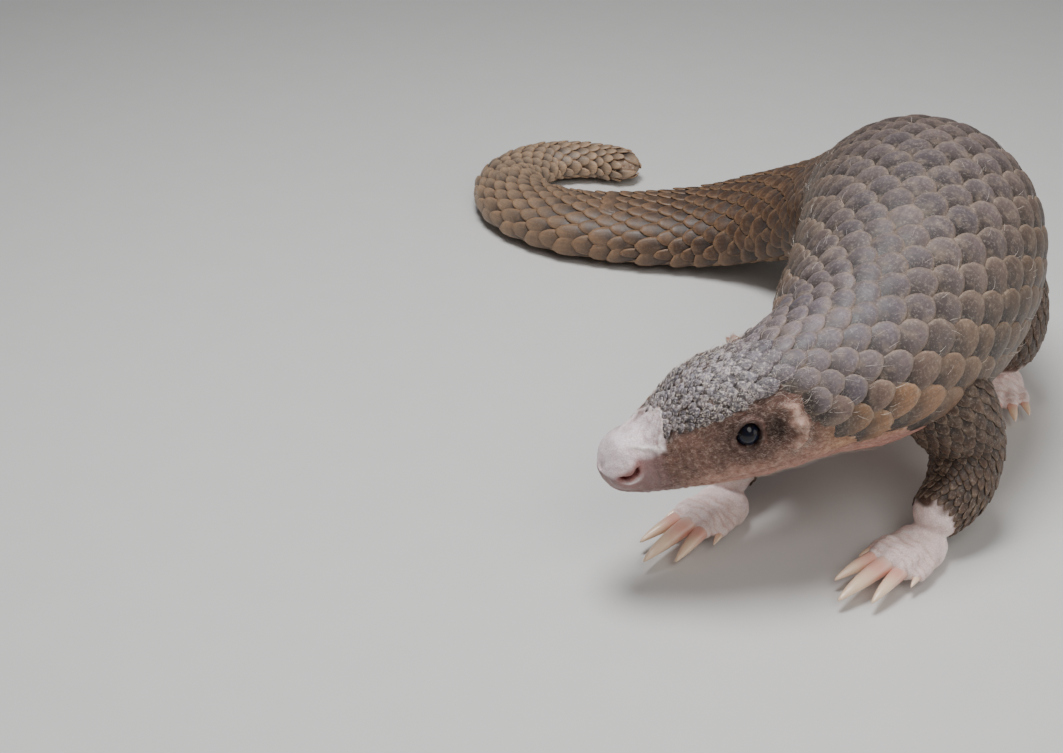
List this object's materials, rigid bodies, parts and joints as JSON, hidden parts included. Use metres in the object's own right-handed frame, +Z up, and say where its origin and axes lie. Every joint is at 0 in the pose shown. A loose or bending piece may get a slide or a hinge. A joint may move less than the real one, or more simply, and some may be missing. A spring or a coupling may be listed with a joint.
{
  "type": "juvenile pangolin figure",
  "caption": "Life-size young pangolin standing on four clawed feet, overlapping horn scales over head, back and legs, head turned to its right, long scaled tail laid in a hook.",
  "frame": {"origin": "middle of the floor under the bounding box", "axes": "+Z up; the chest heads along -Y; +X is the animal's left; the tail leaves at the back and sweeps to -X"},
  "size_m": [0.2808, 0.2896, 0.1007],
  "materials": {
    "face_skin": "brown-pink skin under a small scaled crown",
    "back_scales": "waxy grey-brown horn plates",
    "tail_scales": "waxy tan horn plates with paler margins",
    "leg_scales": "dull dark brown horn plates",
    "foot_skin": "soft pale pink skin",
    "ear_skin": "soft pale pink skin",
    "claw_horn": "glossy cream horn",
    "eye_surface": "wet black gloss"
  },
  "bodies": {
    "root": {"head": "face_skin", "eye_left": "eye_surface", "ear_left": "ear_skin", "eye_right": "eye_surface", "ear_right": "ear_skin", "neck": "back_scales", "torso": "back_scales", "tail_1": "tail_scales", "tail_2": "tail_scales", "tail_3": "tail_scales", "tail_4": "tail_scales", "tail_5": "tail_scales", "foreleg_left": "leg_scales", "forepaw_left": "foot_skin", "forepaw_left_claw_5": "claw_horn", "forepaw_left_claw_4": "claw_horn", "forepaw_left_claw_3": "claw_horn", "forepaw_left_claw_2": "claw_horn", "forepaw_left_claw_1": "claw_horn", "foreleg_right": "leg_scales", "forepaw_right": "foot_skin", "forepaw_right_claw_5": "claw_horn", "forepaw_right_claw_4": "claw_horn", "forepaw_right_claw_3": "claw_horn", "forepaw_right_claw_2": "claw_horn", "forepaw_right_claw_1": "claw_horn", "hindleg_left": "leg_scales", "hindfoot_left": "foot_skin", "hindfoot_left_claw_5": "claw_horn", "hindfoot_left_claw_4": "claw_horn", "hindfoot_left_claw_3": "claw_horn", "hindfoot_left_claw_2": "claw_horn", "hindfoot_left_claw_1": "claw_horn", "hindleg_right": "leg_scales", "hindfoot_right": "foot_skin", "hindfoot_right_claw_5": "claw_horn", "hindfoot_right_claw_4": "claw_horn", "hindfoot_right_claw_3": "claw_horn", "hindfoot_right_claw_2": "claw_horn", "hindfoot_right_claw_1": "claw_horn"}
  },
  "joints": []
}
